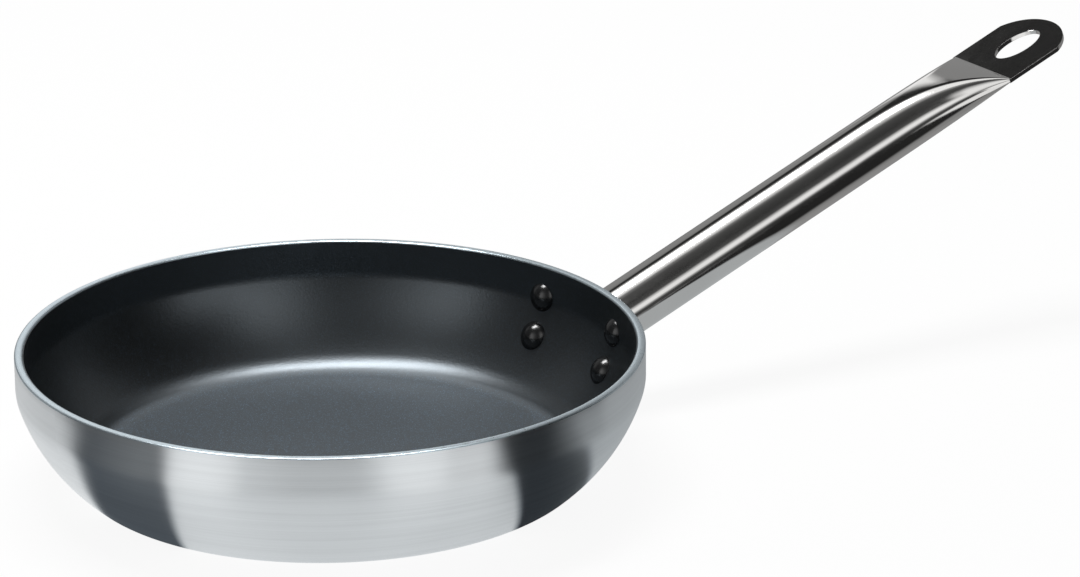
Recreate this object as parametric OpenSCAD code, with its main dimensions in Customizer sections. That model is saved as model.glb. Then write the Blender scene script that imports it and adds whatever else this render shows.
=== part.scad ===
// Omelette pan: a pressed aluminium bowl with a non-stick lining and a riveted stainless tube handle.
// Millimetres. The origin is the centre of the base's underside, +Z is up and the handle runs along +X.

/* [Bowl] */
// Outer diameter at the rim
rim_d = 260; // [230:1:320]
// Height from the resting face to the rim
bowl_h = 56; // [52:0.5:60]
// Height of the upright band under the rim
band_h = 13.8; // [12:0.1:16]
// Outer radius of the shoulder below the band
shoulder_r = 16; // [12:0.5:20]
// Angle through which the shoulder turns inwards, in degrees
shoulder_turn = 17.6; // [15:0.1:20]
// How far the edge of the flat base is set in from the rim
base_inset = 31; // [28:0.5:34]
// Outer radius of the heel, between the flank and the base
heel_r = 11; // [8:0.5:14]
// Inner radius between the flank and the floor
inner_heel_r = 20; // [16:0.5:24]
// Thickness of the wall
wall_t = 3.5; // [2.5:0.1:4.5]
// Thickness of the floor
floor_t = 4.5; // [3.5:0.1:6]
// Radius on the two edges of the rim
rim_round = 0.6; // [0.2:0.1:1.2]

/* [Non-stick lining] */
// Thickness of the film on the floor and wall
coat_t = 0.25; // [0.15:0.01:0.5]

/* [Handle] */
// Outer diameter of the handle tube
tube_d = 25; // [22:0.5:28]
// Wall thickness of the handle tube
tube_t = 1; // [0.8:0.1:1.4]
// Rise of the handle above the horizontal, in degrees
handle_tilt = 20.3; // [16:0.1:25]
// Depth below the rim at which the handle's axis meets the bowl's outer diameter
handle_drop = 23.2; // [22:0.1:25]
// Distance along the handle from the rim to the fold of the flat end
fold_at = 225; // [160:1:280]
// Length over which the tube is pressed from round to flat
press_length = 90; // [60:1:110]
// How late the pressing sets in: 1 is a straight wedge, 4 a full curve that drops near the fold
press_ease = 4; // [2:0.1:5]
// Width of the flat end
tab_w = 40; // [38:0.5:42]
// Length of the flat end from the fold to its tip
tab_l = 41.2; // [36:0.1:48]
// Radius of the flat end's round tip
tip_r = 21.3; // [21:0.1:24]

/* [Hanging eye] */
// Length of the oval eye along the handle
eye_l = 24; // [20:0.5:27]
// Width of the oval eye
eye_w = 14; // [10:0.5:16]
// Distance from the fold to the middle of the eye
eye_at = 20.7; // [18:0.1:24]
// Size of the bevel round the eye on each face
eye_bevel = 0.6; // [0.2:0.1:0.7]

/* [Bracket and weld] */
// Thickness of the bracket plate
plate_t = 2; // [1.5:0.1:3]
// Width of the bracket plate, measured straight across
plate_w = 74; // [68:0.5:84]
// Depth of the bracket's upper edge below the rim
plate_top = 4.5; // [4:0.1:5.5]
// Depth of the bracket's lower edge below the rim
plate_bottom = 44; // [43:0.5:47]
// Radius of the bracket's corners
plate_corner = 8; // [3:0.5:12]
// Radius of the weld bead round the foot of the tube
bead_r = 2.2; // [1.5:0.1:3]

/* [Rivets] */
// Distance of each column of rivets from the bracket's side edge, measured straight across
rivet_inset = 9.3; // [8.2:0.1:10]
// Depth below the rim at which the upper rivets meet the inner face
rivet_upper = 14.4; // [13:0.1:16]
// Depth below the rim at which the lower rivets meet the inner face
rivet_lower = 30.1; // [29:0.1:32]
// Diameter of the rivet shank
shank_d = 6; // [5:0.1:7]
// Diameter of the domed head inside the bowl
head_d = 12.4; // [11:0.1:13]
// Height of the domed head inside the bowl
head_h = 3.6; // [2.5:0.1:4.5]
// Diameter of the closing head on the bracket
tail_d = 11; // [9:0.1:12]
// Height of the closing head on the bracket
tail_h = 2.4; // [1.8:0.1:3]
// Thickness of the film on the domed heads
head_coat_t = 0.25; // [0.15:0.01:0.4]

/* [Clearances] */
// Gap between curved faces that are clamped together
seat_gap = 0.03; // [0.02:0.01:0.1]
// Radial gap between a rivet shank and its hole
shank_gap = 0.05; // [0.02:0.01:0.1]

/* [Hidden] */

// How far a cut runs past what it cuts
overrun = 5;
// Smoothness of small round shapes and of the bowl
fine = 96;
bowl_fine = 360;

// The wall's outer face is a chain of tangent arcs: shoulder, flank and heel. Each turn is the angle of
// the arc's outward normal below the horizontal
rim_r = rim_d / 2;
band_z = bowl_h - band_h;
function turned(a) = [cos(a), -sin(a)];
shoulder_c = [rim_r - shoulder_r, band_z];
shoulder_end = shoulder_c + shoulder_r * turned(shoulder_turn);
heel_c = [rim_r - base_inset, heel_r];

// The flank leaves the shoulder's end and touches the heel's circle from outside it
heel_reach = shoulder_end - heel_c;
flank_r = (heel_reach * heel_reach - heel_r * heel_r) / (2 * (heel_reach * turned(shoulder_turn) - heel_r));
flank_c = shoulder_end - flank_r * turned(shoulder_turn);

// The inner heel touches the flank's inner face and the floor
inner_heel_z = floor_t + inner_heel_r;
inner_heel_c = [
    flank_c[0] + sqrt(pow(flank_r - wall_t - inner_heel_r, 2) - pow(flank_c[1] - inner_heel_z, 2)),
    inner_heel_z
];

// Distance of each curved seat outside the wall's outer face
bracket_seat = seat_gap;
bracket_face = bracket_seat + plate_t;
tube_seat = bracket_face + seat_gap;
// Distance of each curved seat inside the wall's inner face
coat_seat = seat_gap;
coat_face = coat_seat + coat_t;
head_seat = coat_face + seat_gap;

// The shoulder's arc stands proud by this much, so that it crosses its neighbours and doesn't only touch them
seam_lap = 0.002;

// Half section of all that lies within one face of the wall. The face lies off outside the wall's
// outer face, its lower end turns on heel, and its flat bottom is heel_size below that centre
module half_section(off, heel, heel_size, top) {
    heel_turn = atan2(flank_c[1] - heel[1], heel[0] - flank_c[0]);
    bottom = heel[1] - heel_size;
    high = 2 * rim_d;
    intersection() {
        translate([0, bottom]) square([rim_r + off, top - bottom]);
        union() {
            polygon([
                [0, bottom], [heel[0], bottom], flank_c + (flank_r + off) * turned(heel_turn),
                flank_c + (flank_r + off) * turned(shoulder_turn),
                [rim_r + off, band_z], [rim_r + off, high], [0, high]
            ]);
            translate(heel) circle(r = heel_size, $fn = bowl_fine);
            translate(shoulder_c) circle(r = shoulder_r + seam_lap + off, $fn = bowl_fine);
            intersection() {
                translate(flank_c) circle(r = flank_r + off, $fn = bowl_fine);
                polygon([
                    flank_c, flank_c + rim_d * turned(shoulder_turn), flank_c + rim_d * turned(heel_turn)
                ]);
            }
        }
    }
}

// Half sections within the outer face, moved out by off, and within the inner face, moved in by off
module outer_section(off, top) {
    half_section(off, heel_c, heel_r + off, top);
}
module inner_section(off, top) {
    half_section(-wall_t - off, inner_heel_c, inner_heel_r - off, top);
}

module within_bowl(off) {
    rotate_extrude($fn = bowl_fine) outer_section(off, bowl_h);
}

module bowl_space(off) {
    rotate_extrude($fn = bowl_fine) inner_section(off, bowl_h + overrun);
}

// Turn of the wall where its inner face has the height z
shoulder_low = band_z - (shoulder_r - wall_t) * sin(shoulder_turn);
function turn_at(z) =
    z > band_z ? 0
    : z > shoulder_low ? asin((band_z - z) / (shoulder_r - wall_t))
    : asin((flank_c[1] - z) / (flank_r - wall_t));
// Point on the outer face across from there
function outer_at(z) =
    z > band_z ? [rim_r, z]
    : z > shoulder_low ? shoulder_c + shoulder_r * turned(turn_at(z))
    : flank_c + flank_r * turned(turn_at(z));

// Heights above the base
handle_z = bowl_h - handle_drop;
plate_high = bowl_h - plate_top;
plate_low = bowl_h - plate_bottom;
rivet_high = bowl_h - rivet_upper;
rivet_low = bowl_h - rivet_lower;

// Angle round the pan from the handle to each column of rivets
rivet_angle = asin((plate_w / 2 - rivet_inset) / rim_r);

// Puts a piece on a rivet's axis: its own origin on the wall's outer face, its +Z outwards
module at_rivet(side, z) {
    p = outer_at(z);
    rotate([0, 0, side * rivet_angle])
        translate([p[0], 0, p[1]])
            rotate([0, 90 + turn_at(z), 0])
                children();
}

// The four holes for the shanks
module rivet_holes() {
    for (side = [-1, 1], z = [rivet_low, rivet_high])
        at_rivet(side, z)
            translate([0, 0, -wall_t - overrun])
                cylinder(d = shank_d + 2 * shank_gap, h = wall_t + plate_t + 2 * overrun, $fn = fine);
}

module pan_body() {
    color("silver") difference() {
        rotate_extrude($fn = bowl_fine) {
            difference() {
                outer_section(0, bowl_h - rim_round);
                inner_section(0, bowl_h);
            }
            translate([rim_r - wall_t + rim_round, band_z]) square([wall_t - 2 * rim_round, band_h]);
            for (r = [rim_r - wall_t + rim_round, rim_r - rim_round])
                translate([r, bowl_h - rim_round]) circle(r = rim_round, $fn = fine);
        }
        rivet_holes();
    }
}

module nonstick_coating() {
    color([0.13, 0.14, 0.15]) difference() {
        rotate_extrude($fn = bowl_fine) difference() {
            inner_section(coat_seat, bowl_h - rim_round);
            inner_section(coat_face, bowl_h);
        }
        rivet_holes();
    }
}

// Flat outline of the bracket, across and up
module plate_outline() {
    across = plate_w / 2 - plate_corner;
    translate([-plate_w / 2, plate_low + plate_corner])
        square([plate_w, plate_high - plate_low - 2 * plate_corner]);
    translate([-across, plate_low]) square([2 * across, plate_high - plate_low]);
    for (y = [-across, across], z = [plate_low + plate_corner, plate_high - plate_corner])
        translate([y, z]) circle(r = plate_corner, $fn = fine);
}

// The bracket follows the wall's outer face and carries the tube
module handle_bracket() {
    color([0.72, 0.72, 0.7]) difference() {
        intersection() {
            within_bowl(bracket_face);
            rotate([90, 0, 90]) linear_extrude(height = rim_r + 2 * overrun) plate_outline();
        }
        within_bowl(bracket_seat);
        rivet_holes();
    }
}

// Puts a piece on the handle: its own origin where the axis passes the rim, its +X along the handle
module at_handle() {
    translate([rim_r, 0, handle_z]) rotate([0, -handle_tilt, 0]) children();
}

// The press leaves a section of two flat runs joined by half circles, from the round tube to the fold
tube_r = tube_d / 2;
tab_t = 2 * tube_t;
press_from = fold_at - press_length;
press_steps = 18;
section_points = 48;

// Section at x along the handle, pressed from 0 for round to 1 for flat and made smaller by inset
function section(x, pressed, inset) =
    let (h = tube_r - (tube_r - tab_t / 2) * pressed - inset,
        w = tube_r + (tab_w / 2 - tube_r) * pressed - inset)
    [for (i = [0 : section_points - 1]) let (a = (i + 0.5) * 360 / section_points)
        [x, (w - h) * sign(cos(a)) + h * cos(a), h * sin(a)]];
// Sections over the pressed length, up to the share t of it
function press_sections(t, inset) =
    [for (k = [0 : press_steps]) let (part = t * k / press_steps)
        section(press_from + press_length * part, pow(part, press_ease), inset)];

// Closed skin over a list of sections
module skin(sections) {
    n = section_points;
    last = (len(sections) - 1) * n;
    points = [for (ring = sections, p = ring) p];
    sides = [for (k = [0 : len(sections) - 2], i = [0 : n - 1]) let (a = k * n, j = (i + 1) % n)
        each [[a + i, a + n + i, a + n + j], [a + i, a + n + j, a + j]]];
    caps = [[for (i = [0 : n - 1]) i], [for (i = [n - 1 : -1 : 0]) last + i]];
    polyhedron(points = points, faces = concat(sides, caps), convexity = 4);
}

// The tube before its foot, tip and eye are cut: how far it starts behind the rim, and where its hollow ends
root_back = 32;
cavity_end = 1.5;
module tube_outside() {
    tip = fold_at + tab_l + overrun;
    skin(concat([section(-root_back, 0, 0)], press_sections(1, 0), [section(tip, 1, 0)]));
}
module tube_inside() {
    skin(concat(
        [section(-root_back - overrun, 0, tube_t)],
        press_sections(1 - cavity_end / press_length, tube_t)
    ));
}

// What is cut away round the tip
module tip_waste() {
    translate([fold_at + tab_l - tip_r, 0, -tab_t]) linear_extrude(height = 2 * tab_t) difference() {
        translate([0, -tab_w]) square([tab_w, 2 * tab_w]);
        circle(r = tip_r, $fn = fine);
    }
}

// The oval eye, bevelled on both faces: rings of its outline at the height z, grown outwards
function eye_ring(z, grow) =
    [for (i = [0 : section_points - 1]) let (a = i * 360 / section_points)
        [(eye_l / 2 + grow) * cos(a), (eye_w / 2 + grow) * sin(a), z]];
module hanging_eye() {
    deep = tab_t / 2 - eye_bevel;
    out = 2 * eye_bevel;
    translate([fold_at + eye_at, 0, 0])
        skin([eye_ring(-deep - out, out), eye_ring(-deep, 0), eye_ring(deep, 0), eye_ring(deep + out, out)]);
}

module handle_tube() {
    color([0.8, 0.79, 0.78]) difference() {
        at_handle() difference() {
            tube_outside();
            tube_inside();
            tip_waste();
            hanging_eye();
        }
        within_bowl(tube_seat);
    }
}

// Foot of the tube: where the line along its side, at y and z, comes to the bracket, found by halving
function in_pan(x, y, z) = [
    rim_r + x * cos(handle_tilt) - z * sin(handle_tilt), y,
    handle_z + x * sin(handle_tilt) + z * cos(handle_tilt)
];
function face_r(z) =
    z > band_z ? rim_r + bracket_face
    : z > band_z - (shoulder_r + bracket_face) * sin(shoulder_turn)
    ? shoulder_c[0] + sqrt(pow(shoulder_r + bracket_face, 2) - pow(band_z - z, 2))
    : flank_c[0] + sqrt(pow(flank_r + bracket_face, 2) - pow(flank_c[1] - z, 2));
function clear_of_bracket(p) = norm([p[0], p[1]]) > face_r(p[2]);
function foot_x(y, z, lo, hi, n = 20) =
    let (mid = (lo + hi) / 2)
    n == 0 ? mid
    : clear_of_bracket(in_pan(mid, y, z)) ? foot_x(y, z, lo, mid, n - 1)
    : foot_x(y, z, mid, hi, n - 1);

// Section of the weld bead at one place round the tube
bead_stations = 48;
bead_sides = 10;
function bead_ring(a) =
    let (x = foot_x(tube_r * cos(a), tube_r * sin(a), -root_back, root_back))
    [for (k = [0 : bead_sides - 1]) let (b = (k + 0.5) * 360 / bead_sides, r = tube_r + bead_r * cos(b))
        [x + bead_r * sin(b), r * cos(a), r * sin(a)]];

// The weld runs round the foot of the tube, in the corner that it makes with the bracket
module handle_weld() {
    n = bead_sides;
    points = [for (i = [0 : bead_stations - 1], p = bead_ring(i * 360 / bead_stations)) p];
    faces = [for (i = [0 : bead_stations - 1], k = [0 : n - 1])
        let (a = i * n, b = ((i + 1) % bead_stations) * n, j = (k + 1) % n)
        each [[a + k, b + j, b + k], [a + k, a + j, b + j]]];
    color([0.6, 0.6, 0.58]) difference() {
        at_handle() difference() {
            polyhedron(points = points, faces = faces, convexity = 4);
            translate([-root_back, 0, 0]) rotate([0, 90, 0])
                cylinder(d = tube_d + 2 * seat_gap, h = 2 * root_back, $fn = fine);
        }
        within_bowl(tube_seat);
    }
}

// A low dome that rises towards -Z from z = 0, on a straight skirt that runs back into what carries it
module dome(d, h, skirt) {
    ball_r = (d * d / 4 + h * h) / (2 * h);
    rotate_extrude($fn = fine) intersection() {
        translate([0, ball_r - h]) circle(r = ball_r, $fn = fine);
        translate([0, -h - 1]) square([d / 2, h + 1 + skirt]);
    }
}

head_skirt = 2;
module rivet_head(grow) {
    translate([0, 0, -wall_t - head_seat]) dome(head_d + 2 * grow, head_h + grow, head_skirt);
}

module rivet(side, z) {
    color([0.75, 0.76, 0.77]) {
        intersection() {
            at_rivet(side, z) rivet_head(0);
            bowl_space(head_seat);
        }
        difference() {
            at_rivet(side, z)
                translate([0, 0, tube_seat]) rotate([180, 0, 0]) dome(tail_d, tail_h, plate_t / 2);
            within_bowl(tube_seat);
        }
        at_rivet(side, z) translate([0, 0, -wall_t - head_h / 2])
            cylinder(d = shank_d, h = wall_t + head_h / 2 + plate_t + tail_h / 2, $fn = fine);
    }
}

// Film on a rivet's domed head
module rivet_coating(side, z) {
    color([0.08, 0.08, 0.085]) intersection() {
        at_rivet(side, z) difference() {
            rivet_head(seat_gap + head_coat_t);
            rivet_head(seat_gap);
        }
        bowl_space(head_seat);
    }
}

pan_body();
nonstick_coating();
handle_bracket();
handle_tube();
handle_weld();
rivet(1, rivet_high);  // rivet_upper_left
rivet(1, rivet_low);  // rivet_lower_left
rivet(-1, rivet_high);  // rivet_upper_right
rivet(-1, rivet_low);  // rivet_lower_right
rivet_coating(1, rivet_high);  // rivet_coating_upper_left
rivet_coating(1, rivet_low);  // rivet_coating_lower_left
rivet_coating(-1, rivet_high);  // rivet_coating_upper_right
rivet_coating(-1, rivet_low);  // rivet_coating_lower_right
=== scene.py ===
"""Omelette pan: a pressed aluminium bowl with a non-stick lining and a steel tube handle, as finished.

Metres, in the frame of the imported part: the origin is the centre of the base, +Z is up and the handle
runs along +X.
"""

import math

import bmesh
import bpy
from mathutils import Matrix, Vector


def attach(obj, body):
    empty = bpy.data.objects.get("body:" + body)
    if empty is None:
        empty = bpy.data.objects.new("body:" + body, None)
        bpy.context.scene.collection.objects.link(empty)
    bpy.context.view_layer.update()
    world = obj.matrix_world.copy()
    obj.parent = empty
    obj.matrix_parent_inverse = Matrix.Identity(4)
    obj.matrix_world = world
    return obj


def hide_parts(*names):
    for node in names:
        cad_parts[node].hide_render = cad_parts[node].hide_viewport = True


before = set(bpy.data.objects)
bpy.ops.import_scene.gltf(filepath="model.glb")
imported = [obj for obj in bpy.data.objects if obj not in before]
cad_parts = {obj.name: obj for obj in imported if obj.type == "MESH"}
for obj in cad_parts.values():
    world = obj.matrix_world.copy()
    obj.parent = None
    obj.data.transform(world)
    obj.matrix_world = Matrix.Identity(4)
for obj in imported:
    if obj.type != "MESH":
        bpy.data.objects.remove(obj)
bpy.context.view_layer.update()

bl_info = {
    "name": "Omelette pan",
    "version": (1, 0, 0),
    "blender": (4, 5, 0),
    "location": "3D View > Sidebar > Pan",
    "description": "Models and finishes an omelette pan piece by piece on its packed frame",
    "category": "Object",
}

# Side of the handle and row of each rivet
RIVETS = {
    "upper_left": (1, "high"),
    "lower_left": (1, "low"),
    "upper_right": (-1, "high"),
    "lower_right": (-1, "low"),
}

FULL_TURN = 2 * math.pi
QUARTER_TURN = math.pi / 2
# Corners closer than this are one corner, in metres
MERGE_WITHIN = 1e-7
# How far a corner may lie off the line that it is meant to be on
SLACK = 1e-6
# Edges that turn more than this stay crisp when a piece is shaded smooth
CRISP_EDGE = math.radians(35)


def length(name, description, default):
    return bpy.props.FloatProperty(name=name, description=description, default=default, unit="LENGTH")


def angle(name, description, degrees):
    return bpy.props.FloatProperty(
        name=name, description=description, default=math.radians(degrees), unit="ROTATION"
    )


class PanBowlSizes(bpy.types.PropertyGroup):
    """Sizes of the bowl and its lining"""

    rim_radius: length("Rim radius", "Outer radius at the rim", 0.130)
    height: length("Height", "From the resting face to the rim", 0.056)
    band: length("Band", "Height of the upright band", 0.0138)
    shoulder_radius: length("Shoulder radius", "Outer radius below the band", 0.016)
    shoulder_turn: angle("Shoulder turn", "Angle that the shoulder turns through", 17.6)
    base_inset: length("Base inset", "From the rim in to the flat base", 0.031)
    heel_radius: length("Heel radius", "Outer radius above the base", 0.011)
    inner_heel_radius: length("Inner heel radius", "Inner radius above the floor", 0.020)
    wall: length("Wall", "Thickness of the wall", 0.0035)
    floor: length("Floor", "Thickness of the floor", 0.0045)
    rim_round: length("Rim round", "Radius on the edges of the rim", 0.0006)
    lining: length("Lining", "Thickness of the lining", 0.00025)
    seat: length("Seat gap", "Gap between faces clamped together", 0.00003)
    turns: bpy.props.IntProperty(name="Turns", description="Facets round the bowl", default=256, min=32)


class PanHandleSizes(bpy.types.PropertyGroup):
    """Sizes of the handle, its bracket and the rivets"""

    tube_radius: length("Tube radius", "Outer radius of the tube", 0.0125)
    tilt: angle("Tilt", "Rise of the handle", 20.3)
    rim_height: length("Axis height", "Where the axis passes the rim", 0.0328)
    fold: length("Fold", "From the rim to the fold", 0.225)
    press_length: length("Pressed length", "From round to flat", 0.090)
    press_ease: bpy.props.FloatProperty(
        name="Press ease", description="How late the pressing sets in", default=4
    )
    tab_width: length("Tab width", "Width of the flat end", 0.040)
    tab: length("Tab", "Thickness of the flat end", 0.002)
    tab_length: length("Tab length", "From the fold to the tip", 0.0412)
    tip_radius: length("Tip radius", "Radius of the round tip", 0.0213)
    eye_length: length("Eye length", "Length of the eye", 0.024)
    eye_width: length("Eye width", "Width of the eye", 0.014)
    eye_at: length("Eye place", "From the fold to the eye", 0.0207)
    plate: length("Bracket", "Thickness of the bracket", 0.002)
    plate_width: length("Bracket width", "Width of the bracket", 0.074)
    plate_low: length("Bracket foot", "Height of its lower edge", 0.012)
    plate_high: length("Bracket top", "Height of its upper edge", 0.0515)
    plate_corner: length("Bracket corner", "Radius of its corners", 0.008)
    bead: length("Weld bead", "Radius of the weld bead", 0.0022)
    rivet_angle: angle("Rivet angle", "From the handle to each column", 12.301)
    rivet_high: length("Upper rivets", "Height on the inner face", 0.0416)
    rivet_low: length("Lower rivets", "Height on the inner face", 0.0259)
    head_radius: length("Head radius", "Radius of a domed head", 0.0062)
    head_height: length("Head height", "Height of a domed head", 0.0036)
    tail_radius: length("Tail radius", "Radius of a closing head", 0.0055)
    tail_height: length("Tail height", "Height of a closing head", 0.0024)
    shank_radius: length("Shank radius", "Radius of a shank", 0.003)


def colour_prop(name, description, default):
    return bpy.props.FloatVectorProperty(
        name=name, description=description, subtype="COLOR", size=4, min=0, max=1, default=default
    )


class PanColours(bpy.types.PropertyGroup):
    """Colours of the finishes"""

    aluminium: colour_prop("Aluminium", "Turned aluminium of the wall", (0.90, 0.935, 0.955, 1))
    rim: colour_prop("Rim", "Machined aluminium of the rim", (0.80, 0.92, 0.99, 1))
    lining: colour_prop("Lining", "Non-stick lining", (0.004, 0.004, 0.0035, 1))
    fleck: colour_prop("Fleck", "Fine flecks in the lining", (0.19, 0.29, 0.40, 1))
    handle: colour_prop("Handle", "Polished steel of the tube", (0.80, 0.79, 0.775, 1))
    bracket: colour_prop("Bracket", "Satin steel of the bracket", (0.66, 0.66, 0.65, 1))
    rivet: colour_prop("Rivet", "Bright metal of the rivets", (0.78, 0.79, 0.80, 1))
    film: colour_prop("Film", "Black film on the rivet heads", (0.004, 0.0045, 0.005, 1))


def bowl():
    return bpy.context.scene.pan_bowl


def handle():
    return bpy.context.scene.pan_handle


def colours():
    return bpy.context.scene.pan_colours


def turned(angle):
    """Direction out from the Z axis, turned down by an angle"""
    return Vector((math.cos(angle), 0, -math.sin(angle)))


class Wall:
    """The chain of tangent arcs that the wall follows, with distances outside its outer face"""

    def __init__(self):
        b = bowl()
        self.rim = b.rim_radius
        self.band_z = b.height - b.band
        self.shoulder_r = b.shoulder_radius
        self.turn = b.shoulder_turn
        self.shoulder = Vector((b.rim_radius - b.shoulder_radius, 0, self.band_z))
        end = self.shoulder + b.shoulder_radius * turned(b.shoulder_turn)
        self.heel = Vector((b.rim_radius - b.base_inset, 0, b.heel_radius))
        reach = end - self.heel
        out = turned(b.shoulder_turn)
        self.flank_r = (reach.dot(reach) - b.heel_radius**2) / (2 * (reach.dot(out) - b.heel_radius))
        self.flank = end - self.flank_r * out
        inner_z = b.floor + b.inner_heel_radius
        across = math.sqrt((self.flank_r - b.wall - b.inner_heel_radius) ** 2 - (self.flank.z - inner_z) ** 2)
        self.inner_heel = Vector((self.flank.x + across, 0, inner_z))
        # Turn of the flank where it runs into the outer and the inner heel
        self.heel_turn = math.atan2(self.flank.z - self.heel.z, self.heel.x - self.flank.x)
        self.inner_turn = math.atan2(self.flank.z - self.inner_heel.z, self.inner_heel.x - self.flank.x)

    def turn_at(self, z, off):
        """Turn of the face that lies off outside the outer face, at height z"""
        if z >= self.band_z:
            return 0.0
        low = self.band_z - (self.shoulder_r + off) * math.sin(self.turn)
        if z > low:
            return math.asin((self.band_z - z) / (self.shoulder_r + off))
        return math.asin((self.flank.z - z) / (self.flank_r + off))

    def point(self, turn, off, z):
        if turn == 0:
            return Vector((self.rim + off, 0, z))
        if turn < self.turn:
            return self.shoulder + (self.shoulder_r + off) * turned(turn)
        return self.flank + (self.flank_r + off) * turned(turn)

    def radius(self, z, off):
        return self.point(self.turn_at(z, off), off, z).x


class Pen:
    """Draws a profile in the XZ plane with straight runs and arcs"""

    def __init__(self, x, z):
        self.bm = bmesh.new()
        self.tip = self.bm.verts.new((x, 0, z))

    def line(self, x, z, steps=1):
        start = self.tip.co.copy()
        for k in range(1, steps + 1):
            new = bmesh.ops.extrude_vert_indiv(self.bm, verts=[self.tip])["verts"][0]
            new.co = start.lerp(Vector((x, 0, z)), k / steps)
            self.tip = new

    def arc(self, centre, angle, steps):
        made = bmesh.ops.spin(
            self.bm, geom=[self.tip], cent=centre, axis=(0, 1, 0), angle=angle, steps=steps,
            use_duplicate=False
        )
        self.tip = corners(made["geom_last"])[0]

    def revolve(self, turns):
        """Spins the profile round the Z axis into a closed shape"""
        geom = self.bm.verts[:] + self.bm.edges[:]
        bmesh.ops.spin(
            self.bm, geom=geom, cent=(0, 0, 0), axis=(0, 0, 1), angle=FULL_TURN, steps=turns,
            use_merge=True, use_duplicate=False
        )
        bmesh.ops.remove_doubles(self.bm, verts=self.bm.verts, dist=MERGE_WITHIN)
        bmesh.ops.recalc_face_normals(self.bm, faces=self.bm.faces)
        return self.bm


def corners(geom):
    return [v for v in geom if isinstance(v, bmesh.types.BMVert)]


def even(start, run, steps):
    """Even steps along a run, up to its end and without its start"""
    return [start + run * k / steps for k in range(1, steps + 1)]


def smooth(bm, sharp_over):
    for face in bm.faces:
        face.smooth = True
    for edge in bm.edges:
        edge.smooth = not edge.is_manifold or edge.calc_face_angle(0) < sharp_over


def finish_piece(name, bm, materials, nodes, sharp_over=CRISP_EDGE):
    """Makes the piece from its mesh, puts it on the body and lets it stand for its CAD nodes"""
    smooth(bm, sharp_over)
    mesh = bpy.data.meshes.new(name)
    bm.to_mesh(mesh)
    bm.free()
    for material in materials:
        mesh.materials.append(material)
    piece = bpy.data.objects.new(name, mesh)
    bpy.context.collection.objects.link(piece)
    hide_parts(*nodes)
    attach(piece, "root")


class Nodes:
    """Adds nodes to a tree"""

    def __init__(self, tree):
        self.tree = tree

    def new(self, kind, **settings):
        node = self.tree.nodes.new(kind)
        for key, value in settings.items():
            setattr(node, key, value)
        return node

    def link(self, source, target):
        self.tree.links.new(source, target)

    def feed(self, socket, value):
        if isinstance(value, bpy.types.NodeSocket):
            self.link(value, socket)
        elif value is not None:
            socket.default_value = value

    def math(self, operation, a, b=None):
        node = self.new("ShaderNodeMath", operation=operation)
        self.feed(node.inputs[0], a)
        self.feed(node.inputs[1], b)
        return node.outputs[0]

    def ramp(self, factor, stops):
        node = self.new("ShaderNodeValToRGB")
        elements = node.color_ramp.elements
        while len(elements) < len(stops):
            elements.new(0.5)
        for element, (at, colour) in zip(elements, stops):
            element.position = at
            element.color = colour if len(colour) == 4 else (*colour, 1)
        self.link(factor, node.inputs["Fac"])
        return node.outputs["Color"]

    def plus(self, value, pattern, share):
        """Adds a share of a pattern"""
        return self.math("ADD", value, self.math("MULTIPLY", pattern, share))

    def from_axis(self, x, y):
        """Distance from the Z axis"""
        return self.math("SQRT", self.math("ADD", self.math("POWER", x, 2), self.math("POWER", y, 2)))

    def spread(self, value, to_low, to_high, low=0, high=1):
        """Maps the run from low to high onto the run from to_low to to_high, and holds the ends"""
        node = self.new("ShaderNodeMapRange")
        node.inputs["From Min"].default_value = low
        node.inputs["From Max"].default_value = high
        node.inputs["To Min"].default_value = to_low
        node.inputs["To Max"].default_value = to_high
        self.link(value, node.inputs["Value"])
        return node.outputs["Result"]

    def within(self, value, start, end):
        """Share that is whole between two soft edges, each given as the run in which it fades"""
        return self.math("MULTIPLY", self.spread(value, 0, 1, *start), self.spread(value, 1, 0, *end))

    def mix_colour(self, share, first, second):
        node = self.new("ShaderNodeMix", data_type="RGBA")
        colours = [socket for socket in node.inputs if socket.type == "RGBA"]
        self.feed(node.inputs["Factor"], share)
        self.feed(colours[0], first)
        self.feed(colours[1], second)
        return [socket for socket in node.outputs if socket.type == "RGBA"][0]

    def mix_shader(self, share, first, second):
        node = self.new("ShaderNodeMixShader")
        for socket, value in zip(node.inputs, (share, first, second)):
            self.feed(socket, value)
        return node.outputs[0]


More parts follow.
